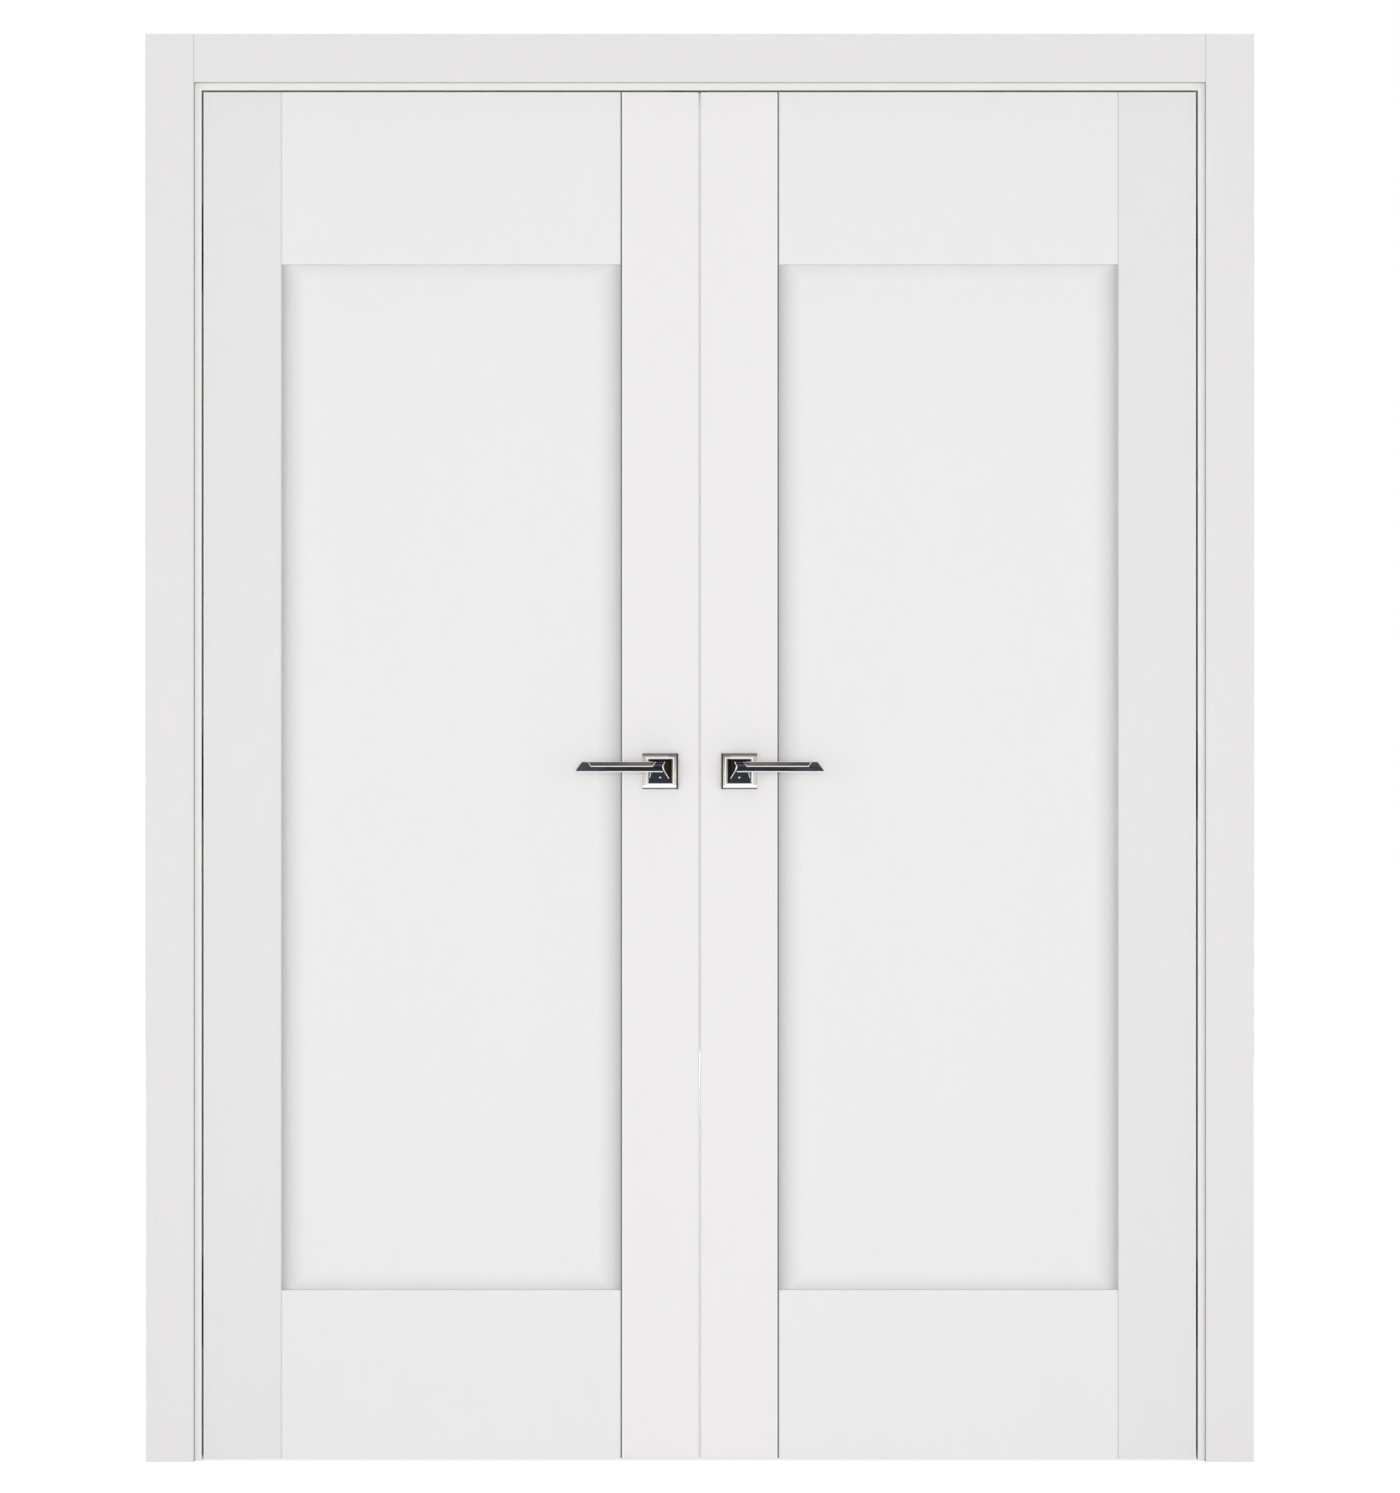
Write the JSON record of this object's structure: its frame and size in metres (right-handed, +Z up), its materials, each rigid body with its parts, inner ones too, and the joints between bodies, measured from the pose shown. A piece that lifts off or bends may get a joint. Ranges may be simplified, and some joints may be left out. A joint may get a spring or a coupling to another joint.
{
  "type": "prehung double door",
  "caption": "Pair of flush-set single-panel doors in a rebated jamb with flat casing on both wall faces, concealed hinges, square-rose levers, a mortise latch and flush bolts.",
  "frame": {"origin": "on the floor, at the middle of the object's width and depth; the meeting line of the two leaves is at X = 0", "axes": "+Z up, +X to the right as seen from the side the leaves open to, +Y into the wall, away from that side"},
  "size_m": [1.6464, 0.177, 2.121],
  "materials": {
    "polished_dark_nickel": "polished dark nickel plate",
    "satin_nickel": "satin nickel plate",
    "white_gasket": "soft white extruded rubber",
    "zinc_plated_steel": "bright zinc plate",
    "satin_hinge_zinc": "satin chrome on die-cast zinc",
    "beech": "bare fluted beech",
    "galvanised_steel": "galvanised sheet",
    "magnet": "bare ferrite",
    "black_nylon": "black nylon with a steel core",
    "white_jamb": "silk white laminate on wood",
    "white_casing": "silk white grained laminate on wood board",
    "white_panel": "silk white grained laminate on board",
    "white_stile": "silk white grained laminate on laminated wood",
    "white_rail": "silk white grained laminate on laminated wood"
  },
  "bodies": {
    "frame": {"frame_screws": "zinc_plated_steel", "head_back_casing": "white_casing", "head_bolt_strike": "satin_nickel", "head_front_casing": "white_casing", "head_jamb": "white_jamb", "jamb_hinge_screws": "zinc_plated_steel", "left_back_casing": "white_casing", "left_front_casing": "white_casing", "left_jamb": "white_jamb", "left_jamb_hinge_cups": "satin_hinge_zinc", "right_back_casing": "white_casing", "right_front_casing": "white_casing", "right_jamb": "white_jamb", "right_jamb_hinge_cups": "satin_hinge_zinc", "stop_gasket": "white_gasket"},
    "left_leaf": {"bottom_flush_bolt_plate": "satin_nickel", "latch_strike": "satin_nickel", "left_back_rose": "satin_nickel", "left_bottom_rail": "white_rail", "left_front_rose": "satin_nickel", "left_hardware_screws": "zinc_plated_steel", "left_hinge_stile": "white_stile", "left_leaf_hinge_cups": "satin_hinge_zinc", "left_leaf_hinge_screws": "zinc_plated_steel", "left_meeting_stile": "white_stile", "left_panel": "white_panel", "left_rail_dowels": "beech", "left_top_rail": "white_rail", "strike_magnet": "magnet", "top_flush_bolt_plate": "satin_nickel"},
    "right_leaf": {"latch_case": "galvanised_steel", "latch_forend": "satin_nickel", "right_back_rose": "satin_nickel", "right_bottom_rail": "white_rail", "right_front_rose": "satin_nickel", "right_hardware_screws": "zinc_plated_steel", "right_hinge_stile": "white_stile", "right_leaf_hinge_cups": "satin_hinge_zinc", "right_leaf_hinge_screws": "zinc_plated_steel", "right_meeting_stile": "white_stile", "right_panel": "white_panel", "right_rail_dowels": "beech", "right_top_rail": "white_rail"},
    "left_lever_set": {"left_front_lever": "polished_dark_nickel", "left_back_lever": "polished_dark_nickel", "left_spindle": "galvanised_steel", "left_grub_screws": "zinc_plated_steel"},
    "left_jamb_arms": {"left_jamb_hinge_arms": "satin_hinge_zinc"},
    "left_leaf_arms": {"left_leaf_hinge_arms": "satin_hinge_zinc"},
    "right_lever_set": {"right_front_lever": "polished_dark_nickel", "right_back_lever": "polished_dark_nickel", "right_spindle": "galvanised_steel", "right_grub_screws": "zinc_plated_steel", "latch_follower": "galvanised_steel"},
    "right_jamb_arms": {"right_jamb_hinge_arms": "satin_hinge_zinc"},
    "right_leaf_arms": {"right_leaf_hinge_arms": "satin_hinge_zinc"},
    "latch_bolt": {"latch_bolt": "black_nylon"},
    "top_flush_bolt": {"top_flush_bolt": "satin_nickel"},
    "bottom_flush_bolt": {"bottom_flush_bolt": "satin_nickel"}
  },
  "joints": [
    {"name": "left_leaf_swing", "type": "hinge", "parent": "frame", "child": "left_leaf", "pos_m": [-0.7397, -0.043, 0], "axis": [0, 0, -1], "range_deg": [0, 170]},
    {"name": "left_jamb_arms_turn", "type": "hinge", "parent": "frame", "child": "left_jamb_arms", "pos_m": [-0.7514, -0.0251, 0], "axis": [0, 0, -1], "range_deg": [0, 72]},
    {"name": "left_leaf_arms_turn", "type": "hinge", "parent": "left_leaf", "child": "left_leaf_arms", "pos_m": [-0.728, -0.0251, 0], "axis": [0, 0, 1], "range_deg": [0, 72]},
    {"name": "left_lever_turn", "type": "hinge", "parent": "left_leaf", "child": "left_lever_set", "pos_m": [-0.0586, -0.0375, 1.026], "axis": [0, -1, 0], "range_deg": [0, 45], "stiffness_Nm_per_rad": 1.2, "springref_deg": -34.38},
    {"name": "right_leaf_swing", "type": "hinge", "parent": "frame", "child": "right_leaf", "pos_m": [0.7397, -0.043, 0], "axis": [0, 0, 1], "range_deg": [0, 170]},
    {"name": "right_jamb_arms_turn", "type": "hinge", "parent": "frame", "child": "right_jamb_arms", "pos_m": [0.7514, -0.0251, 0], "axis": [0, 0, 1], "range_deg": [0, 72]},
    {"name": "right_leaf_arms_turn", "type": "hinge", "parent": "right_leaf", "child": "right_leaf_arms", "pos_m": [0.728, -0.0251, 0], "axis": [0, 0, -1], "range_deg": [0, 72]},
    {"name": "right_lever_turn", "type": "hinge", "parent": "right_leaf", "child": "right_lever_set", "pos_m": [0.0586, -0.0375, 1.026], "axis": [0, 1, 0], "range_deg": [0, 45], "stiffness_Nm_per_rad": 1.2, "springref_deg": -34.38},
    {"name": "latch_bolt_slide", "type": "slide", "parent": "right_leaf", "child": "latch_bolt", "axis": [-1, 0, 0], "range_m": [0, 0.011], "stiffness_N_per_m": 60, "springref_m": -0.008},
    {"name": "top_flush_bolt_slide", "type": "slide", "parent": "left_leaf", "child": "top_flush_bolt", "axis": [0, 0, 1], "range_m": [0, 0.014]},
    {"name": "bottom_flush_bolt_slide", "type": "slide", "parent": "left_leaf", "child": "bottom_flush_bolt", "axis": [0, 0, -1], "range_m": [0, 0.014]}
  ],
  "couplings": [
    {"joint": "left_jamb_arms_turn", "follows": "left_leaf_swing", "ratio": 0.42},
    {"joint": "left_leaf_arms_turn", "follows": "left_leaf_swing", "ratio": 0.42},
    {"joint": "right_jamb_arms_turn", "follows": "right_leaf_swing", "ratio": 0.42},
    {"joint": "right_leaf_arms_turn", "follows": "right_leaf_swing", "ratio": 0.42}
  ]
}
